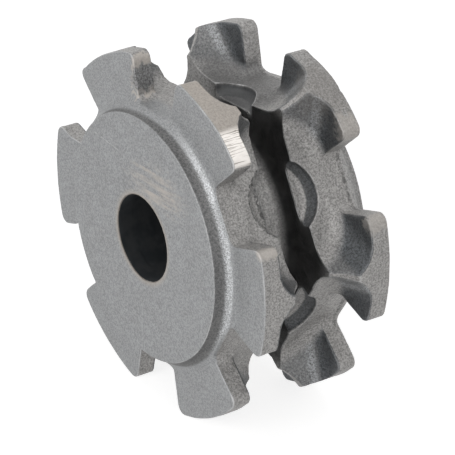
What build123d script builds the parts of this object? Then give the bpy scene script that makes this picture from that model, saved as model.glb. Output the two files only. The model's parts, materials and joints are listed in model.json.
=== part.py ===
"""Chain sprocket: a six-pocket wheel for round-link chain, cast in one piece.

The wheel axis runs along Y and the wheel centre is the origin. Two toothed
flanges stand either side of a deep central groove. Links lying flat seat in
the pockets between the teeth, and the links between them stand in the groove.
"""
import os
from itertools import pairwise
from math import atan2, cos, degrees, hypot, radians, sin, tan

from build123d import *

# Chain carried by the wheel (mm)
chain_wire = 10.0
chain_pitch = 28.0
link_width = 34.0
pocket_count = 6

# Wheel body
tip_radius = 64.4
teeth_width = 49.8
hub_radius = 43.5
hub_width = 60.6
hub_draft = 0.3
hub_root = 3.4
hub_root_ease = 1.0
bore_radius = 15.0

# Teeth
gap_angle = 23.8
tip_corner_radius = 3.2
flank_root_radius = 3.2
nose_ease = 3.0
nose_share = 0.48

# Link pockets
link_side_play = 0.8
link_end_play = 0.4
seat_drop = 0.5
seat_flare = 1.05
seat_foot_radius = 3.4

# Round relief under the middle of each link
relief_radius = 12.6
relief_depth = 5.5
relief_foot = 1.2

# Central groove
groove_play = 1.1
groove_floor_radius = 33.0
groove_corner = 2.4

# Height of the pocket floor, from the links bending round the wheel
step_angle = 360.0 / pocket_count
half_step = radians(step_angle / 2)
link_ratio = (chain_pitch + chain_wire) / (chain_pitch - chain_wire)
link_angle = atan2(link_ratio * sin(half_step), 1 + link_ratio * cos(half_step))
link_plane = (chain_pitch + chain_wire) / 2 / tan(link_angle)
bed_height = link_plane - chain_wire / 2
seat_height = bed_height - seat_drop

# Seat of a flat link: a slot with round ends that move apart towards the tip
seat_half_width = link_width / 2 + link_side_play
seat_half_length = chain_pitch / 2 + chain_wire + link_end_play
bow_offset = seat_half_length - seat_half_width
pocket_depth = tip_radius + 4.0 - seat_height

# Body profile
blank_radius = tip_radius + 2.0
half_teeth = teeth_width / 2
half_hub = hub_width / 2
half_groove = chain_wire / 2 + groove_play
half_gap = radians(gap_angle / 2)
hub_foot_radius = hub_radius + hub_draft

# Outline of the six teeth along the axis: straight radial flanks, flat pocket floors
with BuildSketch(Plane.XZ) as tooth_outline:
    Circle(tip_radius)
    with BuildSketch(mode=Mode.PRIVATE) as gap:
        Polygon(
            (bed_height, -bed_height * tan(half_gap)),
            (blank_radius, -blank_radius * tan(half_gap)),
            (blank_radius, blank_radius * tan(half_gap)),
            (bed_height, bed_height * tan(half_gap)),
            align=None,
        )
    with PolarLocations(0, pocket_count, start_angle=90):
        add(gap.sketch, mode=Mode.SUBTRACT)
    tip_corners = tooth_outline.vertices().filter_by(lambda v: v.center().length > tip_radius - 0.1)
    fillet(tip_corners, tip_corner_radius)
    flank_roots = tooth_outline.vertices().filter_by(lambda v: v.center().length < bed_height + 2.0)
    fillet(flank_roots, flank_root_radius)

# Space outside the teeth, cut away from the turned blank
with BuildSketch(Plane.XZ) as gap_outline:
    Circle(blank_radius + 1.0)
    add(tooth_outline.sketch_local, mode=Mode.SUBTRACT)


def seat_section(height, inset):
    """Slot outline of the link pocket at a height above its floor."""
    with BuildSketch(Plane.XY.offset(seat_height + height)) as section:
        SlotCenterToCenter(2 * (bow_offset + seat_flare * height), 2 * (seat_half_width - inset))
    return section.sketch


# Link pocket: rounded foot in two stages, then round ends that lean apart up to the tip
foot_turns = [radians(turn) for turn in (0, 45, 90)]
foot_sections = [
    seat_section(seat_foot_radius * (1 - cos(turn)), seat_foot_radius * (1 - sin(turn)))
    for turn in foot_turns
]
wall_height = pocket_depth - seat_foot_radius
foot_bow = bow_offset + seat_flare * seat_foot_radius
top_bow = bow_offset + seat_flare * pocket_depth
with BuildPart() as link_pocket:
    for lower, upper in pairwise(foot_sections):
        loft(sections=[lower, upper], ruled=True)
    for side in (-1, 1):
        with BuildSketch(Plane.XY.offset(seat_height + seat_foot_radius)) as round_end:
            with Locations((side * foot_bow, 0)):
                Circle(seat_half_width)
        extrude(round_end.sketch, amount=wall_height * hypot(1, seat_flare), dir=(side * seat_flare, 0, 1))
    with BuildSketch(Plane.XZ) as between_ends:
        Polygon(
            (-foot_bow, seat_height + seat_foot_radius),
            (foot_bow, seat_height + seat_foot_radius),
            (top_bow, seat_height + pocket_depth),
            (-top_bow, seat_height + pocket_depth),
            align=None,
        )
    extrude(between_ends.sketch, amount=seat_half_width, both=True)

# Round relief sunk in the pocket floor across the groove
with BuildPart() as floor_relief:
    with BuildSketch(Plane.XY.offset(bed_height - relief_depth)):
        Circle(relief_radius)
    extrude(amount=2 * relief_depth)
    chamfer(floor_relief.faces().sort_by(Axis.Z)[0].edges(), relief_foot)


def is_nose(edge):
    """True for the ridge on a tooth's middle plane, between two pocket ends."""
    middle = edge @ 0.5
    turn = degrees(atan2(middle.X, middle.Z)) % step_angle
    between_pockets = abs(turn - step_angle / 2) < 0.5
    beside_groove = half_groove + 0.01 < abs(middle.Y) < seat_half_width
    return between_pockets and beside_groove and hypot(middle.X, middle.Z) > bed_height


with BuildPart() as chain_sprocket:
    # Turned blank with raised hubs, two flanges and the groove between them
    with BuildSketch(Plane.XY) as blank_half:
        with BuildLine():
            Polyline(
                (bore_radius, -half_hub),
                (hub_radius, -half_hub),
                (hub_foot_radius, -half_teeth),
                (blank_radius, -half_teeth),
                (blank_radius, -half_groove),
                (groove_floor_radius, -half_groove),
                (groove_floor_radius, half_groove),
                (blank_radius, half_groove),
                (blank_radius, half_teeth),
                (hub_foot_radius, half_teeth),
                (hub_radius, half_hub),
                (bore_radius, half_hub),
                close=True,
            )
        make_face()
        groove_corners = blank_half.vertices().filter_by(lambda v: abs(v.X - groove_floor_radius) < 0.01)
        chamfer(groove_corners, groove_corner)
        hub_roots = blank_half.vertices().filter_by(lambda v: abs(v.X - hub_foot_radius) < 0.01)
        chamfer(hub_roots, hub_root)
        root_ends = blank_half.vertices().filter_by(
            lambda v: hub_radius + 0.01 < v.X < blank_radius - 1.0 and abs(v.Y) > half_teeth - 0.01
        )
        chamfer(root_ends, hub_root_ease)
    revolve(axis=Axis.Y)

    # Teeth
    extrude(gap_outline.sketch, amount=half_hub, both=True, mode=Mode.SUBTRACT)

    # Pockets and reliefs
    for step in range(pocket_count):
        add(link_pocket.part.rotate(Axis.Y, step * step_angle), mode=Mode.SUBTRACT)
        add(floor_relief.part.rotate(Axis.Y, step * step_angle), mode=Mode.SUBTRACT)

    # Eased nose of each tooth, at most nose_share of its ridge; a full flat top has no ridge
    noses = chain_sprocket.edges().filter_by(is_nose)
    if noses:
        chamfer(noses, min(nose_ease, nose_share * min(nose.length for nose in noses)))

chain_sprocket.part.label = "chain_sprocket"

os.makedirs("parts", exist_ok=True)
export_step(chain_sprocket.part, "parts/chain_sprocket.step")
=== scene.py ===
# %% [markdown]
# # A cast pocket wheel for round-link chain
#
# The object is one grey casting: two toothed flanges beside a deep groove, a
# raised hub on each side and a plain bore. Flat links sit in the six pockets
# between the teeth, and the links between them stand on edge in the groove.
#
# The solid model already holds the true sizes, and it is loaded first as a
# fixed frame. What is made here is its skin: the rounded edges, the uneven
# faces and the blasted surface that foundry sand and shot leave behind.

# %% Load the frame
import json
import math

import bmesh
import bpy
import numpy as np
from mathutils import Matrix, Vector

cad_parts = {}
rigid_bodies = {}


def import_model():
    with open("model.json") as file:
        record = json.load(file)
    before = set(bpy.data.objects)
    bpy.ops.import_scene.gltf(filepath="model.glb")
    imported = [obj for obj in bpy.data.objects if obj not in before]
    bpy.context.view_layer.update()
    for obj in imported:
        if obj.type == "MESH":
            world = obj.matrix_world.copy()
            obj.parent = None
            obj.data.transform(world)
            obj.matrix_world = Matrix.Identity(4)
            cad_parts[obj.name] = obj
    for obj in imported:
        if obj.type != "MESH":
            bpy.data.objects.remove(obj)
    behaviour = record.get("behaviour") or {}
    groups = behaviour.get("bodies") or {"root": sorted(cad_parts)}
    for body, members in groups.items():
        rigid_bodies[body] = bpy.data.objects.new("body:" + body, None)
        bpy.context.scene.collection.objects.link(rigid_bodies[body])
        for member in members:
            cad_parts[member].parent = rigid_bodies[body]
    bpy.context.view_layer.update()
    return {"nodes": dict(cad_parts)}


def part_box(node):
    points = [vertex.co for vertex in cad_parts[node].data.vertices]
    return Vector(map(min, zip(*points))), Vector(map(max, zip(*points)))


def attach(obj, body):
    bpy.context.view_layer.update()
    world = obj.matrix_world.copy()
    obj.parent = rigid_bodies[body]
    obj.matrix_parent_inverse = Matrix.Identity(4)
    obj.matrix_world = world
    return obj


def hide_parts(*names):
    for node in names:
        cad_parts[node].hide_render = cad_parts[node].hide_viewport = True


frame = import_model()
node_low, node_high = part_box("chain_sprocket")
print("frame box in millimetres:", [round(1000 * c, 1) for c in node_high - node_low])

# %% [markdown]
# ## Sizes
#
# Every zone of the skin, such as the flat hub face or the ground tip of one
# tooth, is found from a few radii and widths of the wheel, in metres. The
# outer ones are read from the frame, so they follow it. The wheel turns about
# Y, its front hub face looks along -Y, and Z points up. The pocket sizes belong
# to the top pocket; the other five are the same, a sixth of a turn apart.

# %% Sizes of the wheel
MM = 0.001
tip_radius = node_high.x
half_hub = node_high.y
floor_height = node_low.z
half_teeth = 24.9 * MM
hub_radius = 43.5 * MM
bore_radius = 15.0 * MM
half_groove = 6.1 * MM
half_step = math.radians(30.0)
seat_height = 45.4 * MM
seat_half_width = 17.8 * MM
bow_offset = 6.6 * MM
seat_flare = 1.05
relief_radius = 12.6 * MM
print("tip diameter:", round(2 * tip_radius / MM, 1), "mm")

# %% [markdown]
# ## The cast body: a closed skin of even facets
#
# The frame's mesh is exact but loose: its triangles share no corners, and flat
# faces have none inside. A casting is uneven everywhere, so its faces need
# points to move. The mesh is copied, its corners are merged, and a voxel
# remesh then lays an even net over it, fine enough for the thin hub rim.
# Subdividing the flat faces would also give points, but long thin triangles
# would stay long and thin, and a blur spreads unevenly over those.

# %% Copy and remesh the body
voxel_size = 0.36 * MM
merge_distance = 0.001 * MM


def merged_copy(source, name):
    """A closed copy of a frame node, its loose triangles joined at their corners."""
    cage = bmesh.new()
    cage.from_mesh(source.data)
    bmesh.ops.remove_doubles(cage, verts=cage.verts, dist=merge_distance)
    mesh = bpy.data.meshes.new(name)
    cage.to_mesh(mesh)
    cage.free()
    copy = bpy.data.objects.new(name, mesh)
    bpy.context.scene.collection.objects.link(copy)
    return copy


def bake_modifiers(obj):
    """Turns an object's live modifiers into plain mesh and takes them off."""
    graph = bpy.context.evaluated_depsgraph_get()
    mesh = bpy.data.meshes.new_from_object(obj.evaluated_get(graph))
    obj.modifiers.clear()
    obj.data = mesh


cast_body = merged_copy(frame["nodes"]["chain_sprocket"], "cast_wheel")
remesh = cast_body.modifiers.new("even_net", "REMESH")
remesh.mode = "VOXEL"
remesh.voxel_size = voxel_size
bake_modifiers(cast_body)
print("points after the remesh:", len(cast_body.data.vertices))

# %% [markdown]
# ## Cast edges and faces
#
# A mould has no sharp corners, but it has two kinds of soft ones. Outer edges
# come out with a small even radius, and the feet of the pockets and hubs are
# filled by a wide one. Each is one rule for the whole wheel, so a Geometry
# Nodes tree makes them, where bevels would have to be picked edge by edge.
#
# The tree blurs the places of the points by four amounts. The first blur only
# measures: a point that stands proud of it is on an edge, and a point below it
# is in a foot. The other three are used: a narrow one on plain edges, a wider
# one on the sharpest corners, and the widest in the feet. How far each point
# stood proud is kept, for the finish to use. Slow waves and small pits are then
# pressed into the faces. They only go inwards, so the wheel grows no wider.

# %% Helpers for node trees


def new_node(tree, kind, **settings):
    """Adds a node and sets its properties; inputs= holds sockets to link or plain values."""
    values = settings.pop("inputs", {})
    node = tree.nodes.new(kind)
    for name, value in settings.items():
        setattr(node, name, value)
    for key, value in values.items():
        if isinstance(value, bpy.types.NodeSocket):
            tree.links.new(value, node.inputs[key])
        else:
            node.inputs[key].default_value = value
    return node


def calc(tree, operation, *values, clamp=False):
    """A Math node on sockets or plain numbers; returns its result."""
    inputs = dict(enumerate(values))
    return new_node(tree, "ShaderNodeMath", operation=operation, use_clamp=clamp, inputs=inputs).outputs[0]


def vector_calc(tree, operation, *values, scale=None, output=0):
    """A Vector Math node; only Scale takes scale=, and results that are numbers are output 1."""
    inputs = dict(enumerate(values))
    if scale is not None:
        inputs["Scale"] = scale
    return new_node(tree, "ShaderNodeVectorMath", operation=operation, inputs=inputs).outputs[output]


def ramp(tree, value, start, end, low=0.0, high=1.0):
    """Smooth step from low to high as value goes from start to end."""
    inputs = {"Value": value, "From Min": start, "From Max": end, "To Min": low, "To Max": high}
    node = new_node(tree, "ShaderNodeMapRange", interpolation_type="SMOOTHSTEP", inputs=inputs)
    return node.outputs["Result"]


def all_of(tree, *masks):
    """Product of masks: one only where every mask is one."""
    result = masks[0]
    for mask in masks[1:]:
        result = calc(tree, "MULTIPLY", result, mask)
    return result


def seeded_noise(tree, place, seed, scale, detail):
    """Noise in four dimensions: another seed gives another pattern at the same places."""
    inputs = {0: place, 1: seed, 2: scale, 3: detail}
    return new_node(tree, "ShaderNodeTexNoise", noise_dimensions="4D", inputs=inputs).outputs[0]


def mix_places(tree, share, here, there):
    """Places that go from here to there as share goes from zero to one."""
    inputs = {0: share, 4: here, 5: there}
    return new_node(tree, "ShaderNodeMix", data_type="VECTOR", inputs=inputs).outputs[1]


def blur_field(tree, value, steps, kind):
    """Spreads a value over the mesh's edges in a number of steps."""
    node = new_node(tree, "GeometryNodeBlurAttribute", data_type=kind)
    sockets = {socket.name: socket for socket in node.inputs if socket.enabled}
    tree.links.new(value, sockets["Value"])
    if isinstance(steps, bpy.types.NodeSocket):
        tree.links.new(steps, sockets["Iterations"])
    else:
        sockets["Iterations"].default_value = steps
    return next(socket for socket in node.outputs if socket.enabled)


def store(tree, geometry, name, value, kind="FLOAT"):
    """Keeps a value on each point under a name, for the material to read."""
    node = new_node(tree, "GeometryNodeStoreNamedAttribute", data_type=kind, domain="POINT")
    sockets = {socket.name: socket for socket in node.inputs if socket.enabled}
    sockets["Name"].default_value = name
    tree.links.new(geometry, sockets["Geometry"])
    tree.links.new(value, sockets["Value"])
    return node.outputs[0]


# %% Cast skin tree
skin_inputs = {
    "Geometry": "NodeSocketGeometry",
    "Edge Steps": "NodeSocketInt",
    "Foot Steps": "NodeSocketInt",
    "Fill Steps": "NodeSocketInt",
    "Face Width": "NodeSocketFloat",
    "Wave Depth": "NodeSocketFloat",
    "Pit Depth": "NodeSocketFloat",
    "Seed": "NodeSocketFloat",
    "Finish": "NodeSocketMaterial",
}
# Lifts where a rule starts and where it is full, in metres above the first blur
corner_lift = (0.5 * MM, 0.62 * MM)
foot_drop = (0.07 * MM, 0.17 * MM)
steady_lift = (0.2 * MM, 0.4 * MM)
# Blur steps, one net edge each, and the gain that widens a spread share again
corner_spread = 3
corner_steps = 16
foot_spread = 40
foot_gain = 3.2
# Waves and pits: noise per metre, detail, and the noise that gives none and full depth
wave_scale = 80.0
wave_detail = 1.0
wave_noise = (0.3, 0.7)
pit_scale = 520.0
pit_detail = 2.0
pit_noise = (0.45, 0.75)
calm_on_faces = 0.75
left_on_edges = 0.25
least_press = 0.006 * MM


def build_cast_skin():
    """Geometry Nodes tree: rounds, fills, warps and pits a dense mesh."""
    tree = bpy.data.node_groups.new("cast_skin", "GeometryNodeTree")
    for name, kind in skin_inputs.items():
        tree.interface.new_socket(name, in_out="INPUT", socket_type=kind)
    tree.interface.new_socket("Geometry", in_out="OUTPUT", socket_type="NodeSocketGeometry")
    group_in = tree.nodes.new("NodeGroupInput").outputs
    place = tree.nodes.new("GeometryNodeInputPosition").outputs[0]
    normal = tree.nodes.new("GeometryNodeInputNormal").outputs[0]

    # How far each point stands proud of its surroundings: edges above zero, feet below
    wide = blur_field(tree, place, group_in["Foot Steps"], "FLOAT_VECTOR")
    lift = vector_calc(tree, "DOT_PRODUCT", normal, vector_calc(tree, "SUBTRACT", place, wide), output=1)
    geometry = store(tree, group_in["Geometry"], "edge_lift", calc(tree, "DIVIDE", lift, MM))
    geometry = store(tree, geometry, "mould_place", place, kind="FLOAT_VECTOR")

    # Small radius on edges, a wider one on the sharpest corners
    narrow = blur_field(tree, place, group_in["Edge Steps"], "FLOAT_VECTOR")
    corner = blur_field(tree, ramp(tree, lift, *corner_lift), corner_spread, "FLOAT")
    soft_corner = blur_field(tree, place, corner_steps, "FLOAT_VECTOR")
    edged = mix_places(tree, corner, narrow, soft_corner)

    # Widest radius in the feet and beside them
    foot = ramp(tree, calc(tree, "MULTIPLY", lift, -1.0), *foot_drop)
    foot = blur_field(tree, foot, foot_spread, "FLOAT")
    beside_foot = calc(tree, "MULTIPLY", foot, foot_gain, clamp=True)
    filled = blur_field(tree, place, group_in["Fill Steps"], "FLOAT_VECTOR")
    rounded = mix_places(tree, beside_foot, edged, filled)
    moved = {"Geometry": geometry, "Position": rounded}
    geometry = new_node(tree, "GeometryNodeSetPosition", inputs=moved).outputs[0]

    # Slow waves and pits, pressed inwards, fainter on the outer faces and on edges
    side = calc(tree, "ABSOLUTE", new_node(tree, "ShaderNodeSeparateXYZ", inputs={0: place}).outputs[1])
    face_start = calc(tree, "SUBTRACT", group_in["Face Width"], MM)
    outer_face = ramp(tree, side, face_start, group_in["Face Width"])
    rough = calc(tree, "SUBTRACT", 1.0, calc(tree, "MULTIPLY", outer_face, calm_on_faces))
    waves = seeded_noise(tree, place, group_in["Seed"], wave_scale, wave_detail)
    pits = seeded_noise(tree, place, group_in["Seed"], pit_scale, pit_detail)
    wave_depth = calc(tree, "MULTIPLY", ramp(tree, waves, *wave_noise), group_in["Wave Depth"])
    pit_depth = calc(tree, "MULTIPLY", ramp(tree, pits, *pit_noise), group_in["Pit Depth"])
    steady = ramp(tree, lift, *steady_lift, low=1.0, high=left_on_edges)
    depth = all_of(tree, calc(tree, "ADD", wave_depth, pit_depth), rough, steady)
    depth = calc(tree, "ADD", depth, least_press)
    press = vector_calc(tree, "SCALE", normal, scale=calc(tree, "MULTIPLY", depth, -1.0))
    pressed = {"Geometry": geometry, "Offset": press}
    geometry = new_node(tree, "GeometryNodeSetPosition", inputs=pressed).outputs[0]

    geometry = new_node(tree, "GeometryNodeRealizeInstances", inputs={"Geometry": geometry}).outputs[0]
    finished = {"Geometry": geometry, "Material": group_in["Finish"]}
    geometry = new_node(tree, "GeometryNodeSetMaterial", inputs=finished).outputs[0]
    group_out = tree.nodes.new("NodeGroupOutput")
    tree.links.new(geometry, group_out.inputs[0])
    return tree


def set_input(modifier, name, value):
    """Sets a Geometry Nodes modifier's input, found by its name, through its identifier."""
    for item in modifier.node_group.interface.items_tree:
        if item.in_out == "INPUT" and item.name == name:
            modifier[item.identifier] = value


cast_skin = build_cast_skin()
print("nodes of the cast skin:", len(cast_skin.nodes))

# %% [markdown]
# ## The finish of the casting
#
# The wheel is grey iron, blasted with shot. The outer faces were hit squarely
# and are even and slightly blue; the pocket floors, tips and flanks keep more
# of the sand's grain and a warmer grey; the scoops in the teeth, which make
# room for the link ends, are darker and smoother. Shot hardly reaches the bore,
# which stays nearly black. The rear side of the groove is painted black as
# shade, and the groove's floor, sandy beside the front flange, is painted
# lighter than the other floors. More shade is painted on the scoops' rims,
# the concave corners, the rear floor of the top pocket, one rear tip and the
# hub's wall, with a painted reflection down the scoops and painted highlights
# at the hub's foot; the lighter edges are partly rubbed and partly painted
# highlight. Tools and use left their marks: one tip is ground bright, one
# flank is torn, and the hub face has a rubbed patch and a scratch.
#
# A zone could be a separate material on separate faces, but then its limits
# would follow the net of facets. Here each zone is worked out inside one
# material with the same radii and angles that shape the wheel, so its limits
# stay sharp at any distance. The place that each point had in the mould is kept
# on the points, and the zones read that, so they follow a tooth that moved.

# %% Zones from the object's coordinates


def find_zones(tree):
    """Places on the wheel as sockets, in metres and radians.

    side is the distance from the middle plane, and bearing the turn from the top, to the right above
    zero. height and wall_distance belong to the nearest pocket: how far above its floor a place is, and
    how far outside the wall of its round end. wall_turn goes round that end, from the pocket's length at
    zero to its width at a quarter turn, and relief_reach is the distance from the middle of the floor.
    """
    spot = tree.nodes.new("ShaderNodeTexCoord").outputs["Object"]
    mould_place = new_node(tree, "ShaderNodeAttribute", attribute_name="mould_place").outputs["Vector"]
    x, y, z = new_node(tree, "ShaderNodeSeparateXYZ", inputs={0: mould_place}).outputs
    flat = new_node(tree, "ShaderNodeCombineXYZ", inputs={0: x, 2: z}).outputs[0]
    radius = vector_calc(tree, "LENGTH", flat, output=1)
    bearing = calc(tree, "ARCTAN2", x, z)
    folded = calc(tree, "WRAP", bearing, half_step, -half_step)
    along = calc(tree, "ABSOLUTE", calc(tree, "MULTIPLY", radius, calc(tree, "SINE", folded)))
    from_axis = calc(tree, "MULTIPLY", radius, calc(tree, "COSINE", folded))
    height = calc(tree, "SUBTRACT", from_axis, seat_height)
    side = calc(tree, "ABSOLUTE", y)
    end_centre = calc(tree, "MULTIPLY_ADD", height, seat_flare, bow_offset)
    past_centre = calc(tree, "MAXIMUM", calc(tree, "SUBTRACT", along, end_centre), 0.0)
    from_centre = new_node(tree, "ShaderNodeCombineXYZ", inputs={0: past_centre, 1: y}).outputs[0]
    reach = vector_calc(tree, "LENGTH", from_centre, output=1)
    from_middle = new_node(tree, "ShaderNodeCombineXYZ", inputs={0: along, 1: y}).outputs[0]
    return {
        "spot": spot,
        "y": y,
        "side": side,
        "radius": radius,
        "bearing": bearing,
        "height": height,
        "wall_distance": calc(tree, "SUBTRACT", reach, seat_half_width),
        "wall_turn": calc(tree, "ARCTAN2", side, past_centre),
        "relief_reach": vector_calc(tree, "LENGTH", from_middle, output=1),
    }


def band(tree, value, start, end, soft):
    """One between start and end, fading to zero over soft on both sides."""
    rise = ramp(tree, value, start - soft, start)
    return ramp(tree, value, end, end + soft, low=rise, high=0.0)


# %% [markdown]
# ### Grains and greys
#
# Blasted iron is a field of tiny facets, some turned to the light and some
# away, so one flat grey looks like paint. Every zone is therefore a pair of
# greys with noise between them, and its look comes from how far the two are
# apart. A drop of warmth or blue does the rest, because cast iron is never
# quite neutral. The noise patterns and the greys are kept in three tables, so
# a whole zone can be made lighter or coarser in one place.

# %% Grains and greys
# Noise per metre, its detail and roughness, and the noise that gives zero and one
patterns = {
    "fine": (1700.0, 4.0, 0.8, 0.36, 0.64),
    "sand": (1450.0, 5.0, 0.8, 0.36, 0.64),
    "blotch": (160.0, 2.0, 0.5, 0.35, 0.65),
    "pits": (600.0, 4.0, 0.8, 0.4, 0.58),
    "hub_foot_highlight": (2000.0, 4.0, 0.8, 0.38, 0.68),
    "frayed": (500.0, 3.0, 0.5, 0.35, 0.65),
    "grinding": (1900.0, 2.0, 0.5, 0.33, 0.5),
    "streaks": (700.0, 3.0, 0.5, 0.38, 0.72),
    "broken": (400.0, 2.0, 0.5, 0.4, 0.55),
}
# Lightness of the dark and the light grains, and warmth
grain_greys = {
    "floor": (0.2, 0.52, 0.025),
    "scoop": (0.1, 0.27, -0.01),
    "scoop_rim_shade": (0.05, 0.16, -0.06),
    "relief_wall": (0.06, 0.18, -0.04),
    "outer_face": (0.255, 0.44, -0.016),
    "hub_wall_shade": (0.09, 0.22, 0.0),
    "groove_floor_painted_light": (0.28, 0.66, 0.02),
    "torn_flank": (0.1, 0.36, 0.0),
    "ground_flat": (0.33, 0.46, 0.09),
}
# Lightness and warmth
plain_greys = {
    "scoop_painted_reflection": (0.5, -0.03),
    "shaded_floor": (0.1, -0.02),
    "rear_tip_shade": (0.17, 0.08),
    "hollow_shade": (0.06, 0.0),
    "pitted_line": (0.04, 0.0),
    "hub_foot_highlight": (0.95, -0.02),
    "groove_wall_shade": (0.02, 0.0),
    "bore": (0.035, -0.12),
    # edge: rubbed wear and painted highlight together
    "edge": (0.75, 0.0),
    "unevenness": (0.2, 0.03),
    "ground_spot": (0.5, 0.09),
    "rubbed_corner": (0.5, 0.08),
    "grinding_low": (0.35, 0.11),
    "grinding_high": (0.95, 0.05),
    "rubbed_patch": (0.5, 0.1),
    "bore_rim": (0.42, 0.14),
    "scratch": (0.7, 0.0),
}


def grey(value, warmth):
    """Linear grey, made warmer above zero and bluer below."""
    return (value * (1.0 + warmth), value, value * (1.0 - warmth), 1.0)


def plain(name):
    """Colour of one row of plain_greys."""
    return grey(*plain_greys[name])


def mix_colour(tree, share, below, above):
    """Colour that goes from below to above as share goes from zero to one."""
    colours = {0: share, 6: below, 7: above}
    return new_node(tree, "ShaderNodeMix", data_type="RGBA", inputs=colours).outputs[2]


def grainy(tree, pattern, name):
    """Grains between the two greys of one row of grain_greys."""
    dark, light, warmth = grain_greys[name]
    return mix_colour(tree, pattern, grey(dark, warmth), grey(light, warmth))


def partly(tree, mask, share):
    """A mask weakened to a share of itself."""
    return calc(tree, "MULTIPLY", mask, share)


def grain(tree, spot, name):
    """Noise of one row of patterns, stretched to the full range from zero to one."""
    scale, detail, roughness, low, high = patterns[name]
    inputs = {"Vector": spot, "Scale": scale, "Detail": detail, "Roughness": roughness}
    return ramp(tree, new_node(tree, "ShaderNodeTexNoise", inputs=inputs).outputs[0], low, high)


print("zones with grains:", len(grain_greys), "and plain greys:", len(plain_greys))

# %% [markdown]
# ### Cast surfaces
#
# Each function below lays one part of the wheel over the colours so far. The
# order is the order of making: the sandy casting first, then what the shot
# did to it, then the groove, whose dark rear is painted shade, and the bore.

# %% Pockets: floors, scoops and reliefs


def paint_pockets(tree, zone, sand):
    """Colour of floors and scoops, and the share of the scoops' walls."""
    # Floors, tips and flanks: warm grey sand grain
    colour = grainy(tree, sand, "floor")
    # Scoops: dark and blue, with a painted reflection down the middle, and painted shade where the wall
    # turns along the rim and in one bowl
    wall = all_of(
        tree,
        ramp(tree, zone["wall_distance"], -3.2 * MM, -0.9 * MM),
        ramp(tree, zone["wall_distance"], 0.4 * MM, 0.8 * MM, low=1.0, high=0.0),
        ramp(tree, zone["height"], 1.0 * MM, 4.0 * MM),
    )
    scoop = grainy(tree, sand, "scoop")
    # Painted shade: in the scoop between these bearings the dark rim starts sooner and there is no painted
    # reflection
    shaded_bowl = band(tree, zone["bearing"], math.radians(62.0), math.radians(91.0), math.radians(2.0))
    rim_turn = calc(tree, "MULTIPLY_ADD", shaded_bowl, 0.5, zone["wall_turn"])
    scoop = mix_colour(tree, ramp(tree, rim_turn, 1.15, 1.35), scoop, grainy(tree, sand, "scoop_rim_shade"))
    # Painted reflection: a light stripe down the middle of each scoop, where a lamp would shine
    reflection_streak = all_of(
        tree,
        band(tree, zone["wall_turn"], 1.02, 1.1, 0.14),
        sand,
        calc(tree, "SUBTRACT", 1.0, shaded_bowl),
    )
    scoop = mix_colour(tree, partly(tree, reflection_streak, 0.65), scoop, plain("scoop_painted_reflection"))
    colour = mix_colour(tree, wall, colour, scoop)
    # Reliefs: dark wall round a light floor
    sunk = ramp(tree, zone["height"], -1.1 * MM, -0.3 * MM, low=1.0, high=0.0)
    relief_wall = all_of(tree, sunk, band(tree, zone["relief_reach"], 11.6 * MM, 13.2 * MM, 0.8 * MM))
    colour = mix_colour(tree, relief_wall, colour, grainy(tree, sand, "relief_wall"))
    # Rear floor of the top pocket and its relief: painted shade, darker than the other floors
    shaded = all_of(
        tree,
        band(tree, zone["y"], half_groove + MM, half_teeth - 2.0 * MM, MM),
        band(tree, zone["bearing"], -0.4, 0.25, 0.15),
        ramp(tree, zone["radius"], 37.0 * MM, 39.0 * MM),
        ramp(tree, zone["height"], 3.0 * MM, 7.0 * MM, low=1.0, high=0.0),
        ramp(tree, zone["height"], -2.0 * MM, 0.2 * MM, low=0.85, high=0.55),
    )
    colour = mix_colour(tree, shaded, colour, plain("shaded_floor"))
    return colour, wall


# %% Painted shade on a rear tip and in concave corners, and pitted lines
# Painted shade on the upper tip of one rear tooth: its middle and reach
rear_tip_shade_place = (33.0 * MM, 20.0 * MM, 55.0 * MM)
rear_tip_shade_reach = (13.0 * MM, 9.0 * MM, 9.0 * MM)


def patch(tree, zone, centre, reach, soft, ragged_by=0.5):
    """Share of a ragged round patch about a place on the wheel."""
    offset = vector_calc(tree, "SUBTRACT", zone["spot"], centre)
    stretched = vector_calc(tree, "DIVIDE", offset, reach)
    distance = vector_calc(tree, "LENGTH", stretched, output=1)
    ragged = calc(tree, "MULTIPLY_ADD", grain(tree, zone["spot"], "frayed"), ragged_by, distance)
    edge = 1.0 + ragged_by / 2
    return ramp(tree, ragged, edge - soft, edge + soft, low=1.0, high=0.0)


def paint_tip_and_corner_shade(tree, zone, colour, lift):
    """Lays a brownish painted shade on the upper tip of one rear tooth, and painted shade in the concave
    corners.
    """
    # Painted shade, brownish, on the upper tip of one rear tooth
    rear_tip_shade = patch(tree, zone, rear_tip_shade_place, rear_tip_shade_reach, 0.4)
    colour = mix_colour(tree, partly(tree, rear_tip_shade, 0.4), colour, plain("rear_tip_shade"))
    # Painted shade in the concave corners, away from the outer faces
    hollow_shade = all_of(
        tree,
        ramp(tree, lift, -0.1, -0.35),
        ramp(tree, zone["side"], half_teeth - 1.5 * MM, half_teeth, low=0.5, high=0.0),
    )
    return mix_colour(tree, hollow_shade, colour, plain("hollow_shade"))


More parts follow.
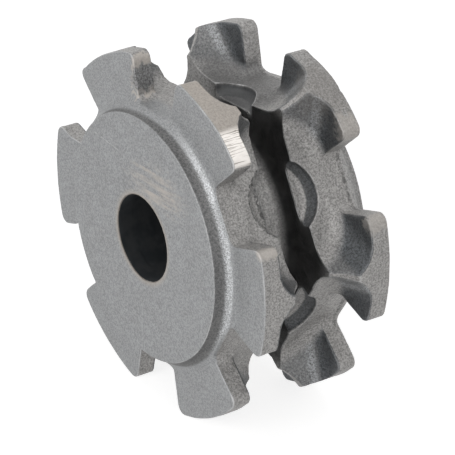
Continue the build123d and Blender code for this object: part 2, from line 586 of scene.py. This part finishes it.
def paint_pitted_lines(tree, zone, colour):
    """Lays black lines of pits round the front reliefs, along the rear floors and down the groove."""
    pitted = grain(tree, zone["spot"], "pits")
    relief_line = all_of(
        tree,
        ramp(tree, zone["y"], -half_groove, -half_groove - MM),
        band(tree, zone["relief_reach"], relief_radius - 0.3 * MM, relief_radius + 0.6 * MM, 0.6 * MM),
        band(tree, zone["height"], -MM, 1.5 * MM, MM),
        pitted,
    )
    floor_line = all_of(
        tree,
        band(tree, zone["y"], 23.3 * MM, 24.0 * MM, 0.6 * MM),
        ramp(tree, zone["height"], 2.0 * MM, 4.0 * MM, low=1.0, high=0.0),
        pitted,
    )
    groove_line = all_of(
        tree,
        band(tree, zone["y"], -7.6 * MM, -6.0 * MM, 0.4 * MM),
        band(tree, zone["height"], -6.0 * MM, -4.2 * MM, 0.5 * MM),
        pitted,
    )
    pit_lines = calc(tree, "MAXIMUM", relief_line, partly(tree, floor_line, 0.6))
    pit_lines = calc(tree, "MAXIMUM", pit_lines, partly(tree, groove_line, 0.85))
    return mix_colour(tree, pit_lines, colour, plain("pitted_line"))


# %% Blasted faces and the wall of the hub


def paint_faces(tree, zone, colour, fine):
    """Lays the blasted outer faces, and the smooth floor of the top pocket; also returns the faces."""
    outer = ramp(tree, zone["side"], half_teeth - 0.55 * MM, half_teeth - 0.25 * MM)
    smooth_floor = all_of(
        tree,
        ramp(tree, zone["y"], -17.0 * MM, -21.0 * MM),
        band(tree, zone["bearing"], -0.12, 0.2, 0.08),
        ramp(tree, zone["height"], 4.0 * MM, 6.0 * MM, low=1.0, high=0.0),
    )
    front_or_rear = ramp(tree, zone["y"], -MM, MM, low=1.0, high=0.15)
    blasted = calc(tree, "MAXIMUM", calc(tree, "MULTIPLY", outer, front_or_rear), smooth_floor)
    return mix_colour(tree, blasted, colour, grainy(tree, fine, "outer_face")), outer


def paint_hub_shade_and_highlight(tree, zone, colour, sand, outer):
    """Lays painted shade on the hub's wall under its rim, and painted highlights as bright grains at its
    foot, both more to the right.
    """
    # Painted shade: a dark band under the hub's rim, wider to the right and fainter at the rear
    wall_reach = ramp(tree, zone["bearing"], -0.2, 0.9, low=0.1 * MM, high=1.6 * MM)
    past_wall = calc(tree, "SUBTRACT", zone["radius"], wall_reach)
    hub_wall_shade = all_of(
        tree,
        ramp(tree, zone["radius"], hub_radius - 0.4 * MM, hub_radius - 0.1 * MM),
        ramp(tree, past_wall, hub_radius, hub_radius + 0.9 * MM, low=1.0, high=0.0),
        band(tree, zone["side"], 26.0 * MM, 29.7 * MM, 0.8 * MM),
        ramp(tree, zone["y"], -MM, MM, low=1.0, high=0.3),
    )
    colour = mix_colour(tree, hub_wall_shade, colour, grainy(tree, sand, "hub_wall_shade"))
    # Painted highlight: bright grains at the hub's foot, to the right and mostly at the front
    hub_foot_highlight = all_of(
        tree,
        band(tree, zone["radius"], hub_radius + 2.0 * MM, hub_radius + 3.0 * MM, 1.0 * MM),
        outer,
        grain(tree, zone["spot"], "hub_foot_highlight"),
        band(tree, zone["bearing"], 0.7, 1.9, 0.5),
        ramp(tree, zone["y"], -MM, MM, low=0.8, high=0.15),
    )
    return mix_colour(tree, hub_foot_highlight, colour, plain("hub_foot_highlight"))


# %% Groove, bore, and edges with rubbed wear and painted highlights


def paint_groove(tree, zone, colour, sand):
    """Lays the groove: a sandy floor painted lighter than other floors, and painted shade that turns it
    black towards the rear flange and on its wall.
    """
    wall_edge = half_groove + 0.15 * MM
    in_groove = all_of(
        tree,
        ramp(tree, zone["y"], -wall_edge, -wall_edge + 0.3 * MM),
        ramp(tree, zone["y"], wall_edge, wall_edge + 0.3 * MM, low=1.0, high=0.0),
        ramp(tree, zone["radius"], 50.0 * MM, 60.0 * MM, low=1.0, high=0.0),
    )
    # Painted shade: black towards the rear flange and on its wall, weaker left of the top
    groove_shade = all_of(
        tree,
        ramp(tree, zone["y"], 1.2 * MM, 5.6 * MM),
        ramp(tree, zone["bearing"], -0.45, -0.1, low=0.25, high=1.0),
    )
    near_top = band(tree, zone["bearing"], 0.0, 0.6, 0.3)
    groove_shade = calc(tree, "MAXIMUM", groove_shade, partly(tree, near_top, 0.6))
    # The floor's sand is painted lighter than the other floors, as painted light in a shaded groove
    groove = mix_colour(tree, groove_shade, grainy(tree, sand, "groove_floor_painted_light"), plain("groove_wall_shade"))
    return mix_colour(tree, in_groove, colour, groove)


def paint_bore(tree, zone, colour):
    """Lays the black bore; also returns its share."""
    bore = ramp(tree, zone["radius"], bore_radius + 0.2 * MM, bore_radius + 0.5 * MM, low=1.0, high=0.0)
    return mix_colour(tree, bore, colour, plain("bore")), bore


def paint_edges_and_highlights(tree, zone, colour, lift, wall, blotch):
    """Lays the lighter edges, rubbed wear and painted highlight together, broken along their length and
    brightest on the right of the hub rim, and a slow unevenness over all.
    """
    # Lighter edges: rubbed wear and painted highlight together, weaker in the scoops
    edge = ramp(tree, lift, 0.26, 0.46)
    broken = ramp(tree, blotch, 0.0, 1.0, low=0.15, high=0.55)
    in_scoop = ramp(tree, wall, 0.0, 1.0, low=1.0, high=0.3)
    # Painted highlight: stronger on the right of the hub rim, where the light glints
    rim_highlight = ramp(tree, zone["bearing"], 0.7, 1.3, low=0.35, high=1.2)
    on_rim = ramp(tree, zone["side"], half_hub - 1.5 * MM, half_hub - MM, low=1.0, high=rim_highlight)
    colour = mix_colour(tree, all_of(tree, edge, broken, in_scoop, on_rim), colour, plain("edge"))
    return mix_colour(tree, partly(tree, blotch, 0.12), colour, plain("unevenness"))

# %% [markdown]
# ### Marks left by use and by tools
#
# A mark sits at one place, so it can't come from a rule for the whole wheel.
# Each is a ragged patch or a line about a given place: noise is added to the
# distance from the middle, so that the outline frays as rubbed metal does. A
# painted picture could hold the same marks, but it would need an unwrapped
# mesh and would blur close up.

# %% Places of the marks
flank_spot_place = (-11.6 * MM, -21.5 * MM, 54.5 * MM)
flank_spot_reach = (3.0 * MM, 5.5 * MM, 10.5 * MM)
torn_place = (-11.1 * MM, -21.4 * MM, 52.4 * MM)
torn_reach = (3.5 * MM, 4.8 * MM, 4.9 * MM)
rubbed_corners = [
    # middle, reach along x, y and z, share
    ((61.2 * MM, -21.3 * MM, 18.3 * MM), (3.0 * MM, 4.6 * MM, 2.2 * MM), 0.7),
    ((45.8 * MM, 20.5 * MM, 45.0 * MM), (5.0 * MM, 5.0 * MM, 5.0 * MM), 0.45),
    ((61.6 * MM, 20.5 * MM, 17.2 * MM), (4.0 * MM, 5.0 * MM, 3.2 * MM), 0.5),
]
rubbed_place = (9.0 * MM, -half_hub, 22.3 * MM)
rubbed_reach = (14.0 * MM, 2.0 * MM, 6.5 * MM)
rubbed_lean = math.radians(-5.0)
streak_length = 12.0
scratch_start = (-30.6 * MM, -half_hub, 27.9 * MM)
scratch_end = (-14.2 * MM, -half_hub, 27.0 * MM)
scratch_width = 0.3 * MM
tip_start = math.radians(14.0)
tip_end = math.radians(47.0)
tip_fade = math.radians(0.8)
bright_start = math.radians(34.5)
bright_full = math.radians(37.5)
print("ground tip:", round(tip_radius * (tip_end - tip_start) / MM, 1), "mm long")

# %% Marks


def ground_tip(tree, zone):
    """Shares of one front tooth's ground tip: the whole flat, its bright end, and the grinding lines."""
    tip = all_of(
        tree,
        ramp(tree, zone["y"], -half_groove, -half_groove - MM),
        ramp(tree, zone["side"], half_teeth - 0.6 * MM, half_teeth - 0.3 * MM, low=1.0, high=0.0),
        ramp(tree, zone["wall_distance"], -0.1 * MM, 0.5 * MM),
        ramp(tree, zone["radius"], 60.8 * MM, 61.6 * MM),
    )
    flat = all_of(tree, tip, band(tree, zone["bearing"], tip_start, tip_end, tip_fade))
    bright = all_of(tree, flat, ramp(tree, zone["bearing"], bright_start, bright_full))
    # The lines run across the tip, so their noise is squeezed to a twentieth along y
    arc = calc(tree, "MULTIPLY", zone["bearing"], tip_radius)
    across = calc(tree, "MULTIPLY", zone["y"], 0.05)
    line_place = new_node(tree, "ShaderNodeCombineXYZ", inputs={0: arc, 1: across}).outputs[0]
    return flat, bright, grain(tree, line_place, "grinding")


def brushed_patch(tree, zone):
    """Share of the rubbed patch on the front hub face, in streaks that lean across it."""
    spread = patch(tree, zone, rubbed_place, rubbed_reach, 0.5)
    turned = new_node(
        tree,
        "ShaderNodeMapping",
        vector_type="TEXTURE",
        inputs={
            "Vector": zone["spot"],
            "Rotation": (0.0, rubbed_lean, 0.0),
            "Scale": (streak_length, 1.0, 1.0),
        },
    ).outputs[0]
    return all_of(tree, spread, grain(tree, turned, "streaks"))


def scratch(tree, zone, start, end, width):
    """Share of a thin scratch between two places, broken along its length."""
    start = Vector(start)
    run = Vector(end) - start
    offset = vector_calc(tree, "SUBTRACT", zone["spot"], start)
    along = vector_calc(tree, "DOT_PRODUCT", offset, run, output=1)
    share = calc(tree, "DIVIDE", along, run.length_squared, clamp=True)
    nearest = vector_calc(tree, "SCALE", run, scale=share)
    distance = vector_calc(tree, "DISTANCE", offset, nearest, output=1)
    line = ramp(tree, distance, 0.5 * width, width, low=1.0, high=0.0)
    return calc(tree, "MULTIPLY", line, grain(tree, zone["spot"], "broken"))


def paint_marks(tree, zone, colour, sand):
    """Lays the marks of use and tools; also returns the share of the bright ground tip."""
    # Torn patch on the flank of one tooth, between ground spots
    spots = patch(tree, zone, flank_spot_place, flank_spot_reach, 0.1)
    colour = mix_colour(tree, partly(tree, spots, 0.7), colour, plain("ground_spot"))
    torn = patch(tree, zone, torn_place, torn_reach, 0.2, 0.3)
    colour = mix_colour(tree, torn, colour, grainy(tree, sand, "torn_flank"))
    # Rubbed corners of three teeth
    for centre, reach, share in rubbed_corners:
        rubbed_corner = patch(tree, zone, centre, reach, 0.3)
        colour = mix_colour(tree, partly(tree, rubbed_corner, share), colour, plain("rubbed_corner"))
    # Ground tip
    flat, bright, grinding = ground_tip(tree, zone)
    colour = mix_colour(tree, flat, colour, grainy(tree, sand, "ground_flat"))
    lined = mix_colour(tree, grinding, plain("grinding_low"), plain("grinding_high"))
    colour = mix_colour(tree, bright, colour, lined)
    # Rubbed patch on the hub face
    rubbed = brushed_patch(tree, zone)
    colour = mix_colour(tree, partly(tree, rubbed, 0.8), colour, plain("rubbed_patch"))
    # Rusty rim of the bore
    rim = all_of(
        tree,
        ramp(tree, zone["side"], half_hub - 0.2 * MM, half_hub - 0.1 * MM),
        ramp(tree, zone["radius"], bore_radius + 0.4 * MM, bore_radius + 2.6 * MM, low=0.5, high=0.0),
    )
    colour = mix_colour(tree, rim, colour, plain("bore_rim"))
    # Scratch on the hub face
    scored = scratch(tree, zone, scratch_start, scratch_end, scratch_width)
    colour = mix_colour(tree, partly(tree, scored, 0.35), colour, plain("scratch"))
    return colour, bright


# %% [markdown]
# ### One material from all the zones
#
# Colour alone isn't enough. The scoops are smooth, so they are more metallic
# and less rough; the bore is rougher, so that it stays black; the ground tip
# shines. The sand's grain also tips the surface a little through a bump node,
# more faintly on the blasted faces and not at all in the bore.

# %% Cast iron material
plain_metal = 0.6
scoop_metal = 0.75
plain_roughness = 0.55
scoop_roughness = 0.45
ground_roughness = 0.36
bore_roughness = 0.9
blasted_smoothness = 0.7
bump_strength = 0.5
bump_depth = 0.1 * MM


def build_cast_iron():
    """Blasted grey iron with zones for faces, floors, scoops, groove, bore and ground marks."""
    material = bpy.data.materials.new("blasted_grey_iron")
    material.use_nodes = True
    tree = material.node_tree
    shader = tree.nodes["Principled BSDF"]
    zone = find_zones(tree)
    fine = grain(tree, zone["spot"], "fine")
    sand = grain(tree, zone["spot"], "sand")
    blotch = grain(tree, zone["spot"], "blotch")
    lift = new_node(tree, "ShaderNodeAttribute", attribute_name="edge_lift").outputs["Fac"]

    colour, wall = paint_pockets(tree, zone, sand)
    colour = paint_tip_and_corner_shade(tree, zone, colour, lift)
    colour = paint_pitted_lines(tree, zone, colour)
    colour, outer = paint_faces(tree, zone, colour, fine)
    colour = paint_hub_shade_and_highlight(tree, zone, colour, sand, outer)
    colour = paint_groove(tree, zone, colour, sand)
    colour, bore = paint_bore(tree, zone, colour)
    colour = paint_edges_and_highlights(tree, zone, colour, lift, wall, blotch)
    colour, bright = paint_marks(tree, zone, colour, sand)

    tree.links.new(colour, shader.inputs["Base Color"])
    metal = ramp(tree, wall, 0.0, 1.0, low=plain_metal, high=scoop_metal)
    tree.links.new(metal, shader.inputs["Metallic"])
    roughness = ramp(tree, wall, 0.0, 1.0, low=plain_roughness, high=scoop_roughness)
    roughness = ramp(tree, bright, 0.0, 1.0, low=roughness, high=ground_roughness)
    roughness = ramp(tree, bore, 0.0, 1.0, low=roughness, high=bore_roughness)
    tree.links.new(roughness, shader.inputs["Roughness"])
    smooth = calc(tree, "MAXIMUM", partly(tree, outer, blasted_smoothness), bore)
    grain_height = calc(tree, "MULTIPLY", sand, calc(tree, "SUBTRACT", 1.0, smooth))
    relief = {"Strength": bump_strength, "Distance": bump_depth, "Height": grain_height}
    bump = new_node(tree, "ShaderNodeBump", inputs=relief)
    tree.links.new(bump.outputs[0], shader.inputs["Normal"])
    return material


cast_iron = build_cast_iron()
print("nodes of the finish:", len(cast_iron.node_tree.nodes))

# %% [markdown]
# ## Uneven teeth
#
# Each tooth of a casting shrinks and leans a little in its own way, where the
# mould shifted or a casting flash was ground off. Both flanges are a millimetre
# or two low near the top, one tooth is turned, and two corners have a small
# dent. The drops are given at a few bearings and run evenly between them; near
# the hub nothing moves. The points are moved as plain arrays, because a list
# of places is shorter as numbers than as nodes. They move after the skin is
# made, and the finish still finds its zones by their places in the mould.

# %% Low stretches, a turned tooth and two dents
low_stretches = [
    # flange side, radius where it starts and where it is full, bearings in degrees, drops in mm
    (
        -1,
        44.0,
        52.0,
        (-52, -44, -10, 0, 8, 12, 18, 26, 36),
        (0, 1.8, 1.8, 0.8, 0.8, 2.2, 2.0, 1.2, 0),
    ),
    (
        1,
        36.0,
        44.0,
        (-52, -44, -28, -16, -8, 6, 10, 13, 18, 28),
        (0, 1.0, 1.0, 1.8, 1.6, 0.2, 0, 1.6, 1.4, 0),
    ),
]
turned_tooth = {"flange": -1, "bearing": -90.0, "turn": -2.2, "width": 0.96}
turn_root = 48.0
turn_ease = 8.0
turn_reach = 26.0
dents = [
    # place in mm, reach in mm, depth in mm
    ((-28.8, -24.0, 57.0), 2.2, 0.7),
    ((35.2, 24.0, 53.8), 1.5, 0.6),
]


def polar(points):
    """Radius and bearing in degrees of each point, seen along the axis."""
    return np.hypot(points[:, 0], points[:, 2]), np.degrees(np.arctan2(points[:, 0], points[:, 2]))


def place_polar(points, radius, bearing):
    """Puts points back at a radius and a bearing in degrees."""
    points[:, 0] = radius * np.sin(np.radians(bearing))
    points[:, 2] = radius * np.cos(np.radians(bearing))


def lower_stretch(points, flange, start, full, bearings, drops):
    """Moves part of one flange's rim towards the axis."""
    radius, bearing = polar(points)
    share = np.clip((radius / MM - start) / (full - start), 0.0, 1.0) * (flange * points[:, 1] > 0.0)
    drop = np.interp(bearing, bearings, drops) * MM
    place_polar(points, radius - drop * share * share * (3.0 - 2.0 * share), bearing)


def turn_tooth(points, flange, bearing, turn, width):
    """Turns one tooth about the axis and narrows it."""
    radius, angle = polar(points)
    from_middle = angle - bearing
    share = np.clip((radius / MM - turn_root) / turn_ease, 0.0, 1.0)
    share *= (np.abs(from_middle) < turn_reach) & (flange * points[:, 1] > 0.0)
    place_polar(points, radius, angle + share * (turn - (1.0 - width) * from_middle))


def dent(points, place, reach, depth):
    """Presses a small dent towards the axis."""
    distance = np.linalg.norm(points / MM - np.array(place), axis=1) / reach
    radius, bearing = polar(points)
    place_polar(points, radius - depth * MM * np.clip(1.0 - distance, 0.0, 1.0), bearing)


# %% Dress the body
skin_settings = {
    "Edge Steps": 5,
    "Foot Steps": 24,
    "Fill Steps": 140,
    "Face Width": half_teeth,
    "Wave Depth": 0.25 * MM,
    "Pit Depth": 0.16 * MM,
    "Seed": 0.7,
    "Finish": cast_iron,
}
skin = cast_body.modifiers.new("cast_skin", "NODES")
skin.node_group = cast_skin
for name, value in skin_settings.items():
    set_input(skin, name, value)
bake_modifiers(cast_body)

points = np.empty(3 * len(cast_body.data.vertices), dtype=np.float32)
cast_body.data.vertices.foreach_get("co", points)
points = points.reshape(-1, 3)
before = points.copy()
for stretch in low_stretches:
    lower_stretch(points, *stretch)
turn_tooth(points, **turned_tooth)
for place, reach, depth in dents:
    dent(points, place, reach, depth)
cast_body.data.vertices.foreach_set("co", points.ravel())
farthest = np.linalg.norm(points - before, axis=1).max()
print("farthest move of a point:", round(float(farthest) / MM, 2), "mm")

# %% [markdown]
# ### Fewer facets
#
# The even net was needed for the blurs, but flat faces don't need it any more.
# Thinning it out joins facets where the surface is flattest, so the edges keep
# theirs and the file stays small.

# %% Thin the net where it is flat
facet_limit = 185000
thin = cast_body.modifiers.new("thin_out", "DECIMATE")
# A remeshed face is a quad and counts as two facets
thin.ratio = facet_limit / (2 * len(cast_body.data.polygons))
bake_modifiers(cast_body)
for face in cast_body.data.polygons:
    face.use_smooth = True
print("facets of the cast body:", len(cast_body.data.polygons))
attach(cast_body, "root")
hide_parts("chain_sprocket")

# %% [markdown]
# ## Floor, light and camera
#
# The wheel stands on white in a white room, and only a faint shadow tells
# where the floor is. A white plane under ordinary lamps comes out grey, with a
# horizon. So floor and room glow, but at full strength only where the camera or
# a reflection looks: for the light that falls on the wheel, the floor doesn't
# glow and the room is dimmer. That leaves the modelling to the lamps.
#
# The front lamp is the strongest, because the front hub face is the largest
# even surface. The other three are about as large and weaker, and keep the
# sides of the teeth and the far flange readable. The camera has a long lens and
# stands a metre away, so the two flanges look nearly the same size.

# %% Floor
floor_size = 6.0
floor_grey = 0.5
floor_roughness = 0.9
floor_glow = 0.8


def light_path_share(tree):
    """One where the camera, a reflection or a transmission looks, zero for light on objects."""
    path = tree.nodes.new("ShaderNodeLightPath").outputs
    seen = calc(tree, "ADD", path["Is Camera Ray"], path["Is Glossy Ray"])
    return calc(tree, "ADD", seen, path["Is Transmission Ray"], clamp=True)


half_floor = floor_size / 2
signs = [(-1, -1), (1, -1), (1, 1), (-1, 1)]
corners = [(x * half_floor, y * half_floor, floor_height) for x, y in signs]
floor_mesh = bpy.data.meshes.new("floor")
floor_mesh.from_pydata(corners, [], [(0, 1, 2, 3)])
floor = bpy.data.objects.new("floor", floor_mesh)
bpy.context.scene.collection.objects.link(floor)
floor_paint = bpy.data.materials.new("white_floor")
floor_paint.use_nodes = True
floor_tree = floor_paint.node_tree
floor_shader = floor_tree.nodes["Principled BSDF"]
floor_shader.inputs["Base Color"].default_value = (floor_grey, floor_grey, floor_grey, 1.0)
floor_shader.inputs["Roughness"].default_value = floor_roughness
floor_shader.inputs["Emission Color"].default_value = (1.0, 1.0, 1.0, 1.0)
glow = calc(floor_tree, "MULTIPLY", light_path_share(floor_tree), floor_glow)
floor_tree.links.new(glow, floor_shader.inputs["Emission Strength"])
floor_mesh.materials.append(floor_paint)
print("floor at:", round(floor_height / MM, 2), "mm")

# %% World
room_light = 0.3
world = bpy.data.worlds.new("white_room")
world.use_nodes = True
bpy.context.scene.world = world
backdrop = world.node_tree.nodes["Background"]
backdrop.inputs["Color"].default_value = (1.0, 1.0, 1.0, 1.0)
strength = ramp(world.node_tree, light_path_share(world.node_tree), 0.0, 1.0, low=room_light, high=1.0)
world.node_tree.links.new(strength, backdrop.inputs["Strength"])
print("room light on the wheel:", room_light)

# %% Camera
view_azimuth = math.radians(56.10)
view_elevation = math.radians(27.1)
view_distance = 1.0143
aim_right = 3.35 * MM
aim_up = -4.09 * MM
focal_length = 237.36
sensor_width = 36.0
back = Vector(
    (
        math.sin(view_azimuth) * math.cos(view_elevation),
        -math.cos(view_azimuth) * math.cos(view_elevation),
        math.sin(view_elevation),
    )
)
right = Vector((math.cos(view_azimuth), math.sin(view_azimuth), 0.0))
up = back.cross(right)
camera_data = bpy.data.cameras.new("camera")
camera_data.lens = focal_length
camera_data.sensor_width = sensor_width
camera = bpy.data.objects.new("camera", camera_data)
bpy.context.scene.collection.objects.link(camera)
camera.location = view_distance * back + aim_right * right + aim_up * up
camera.rotation_euler = back.to_track_quat("Z", "Y").to_euler()
bpy.context.scene.camera = camera
print("camera at:", [round(c, 3) for c in camera.location], "m")

# %% Lamps
lamps = [
    # name, direction from the wheel, distance and edge length in metres, power in watts
    ("front_lamp", (0.15, -1.0, 0.45), 1.3, 0.7, 4.9),
    ("right_lamp", (0.8, -0.45, 0.5), 1.3, 0.6, 1.8),
    ("top_lamp", (0.0, 0.45, 1.0), 1.3, 0.6, 1.4),
    ("left_lamp", (-1.0, 0.1, 0.6), 1.4, 0.8, 1.5),
]


def soft_lamp(name, direction, distance, size, power):
    """Square area lamp that faces the wheel from a direction."""
    lamp_data = bpy.data.lights.new(name, "AREA")
    lamp_data.size = size
    lamp_data.energy = power
    lamp = bpy.data.objects.new(name, lamp_data)
    bpy.context.scene.collection.objects.link(lamp)
    toward = Vector(direction).normalized()
    lamp.location = distance * toward
    lamp.rotation_euler = toward.to_track_quat("Z", "Y").to_euler()
    print(name, power, "W")


for lamp_row in lamps:
    soft_lamp(*lamp_row)

# %% View settings and finish
bpy.context.scene.view_settings.view_transform = "Standard"
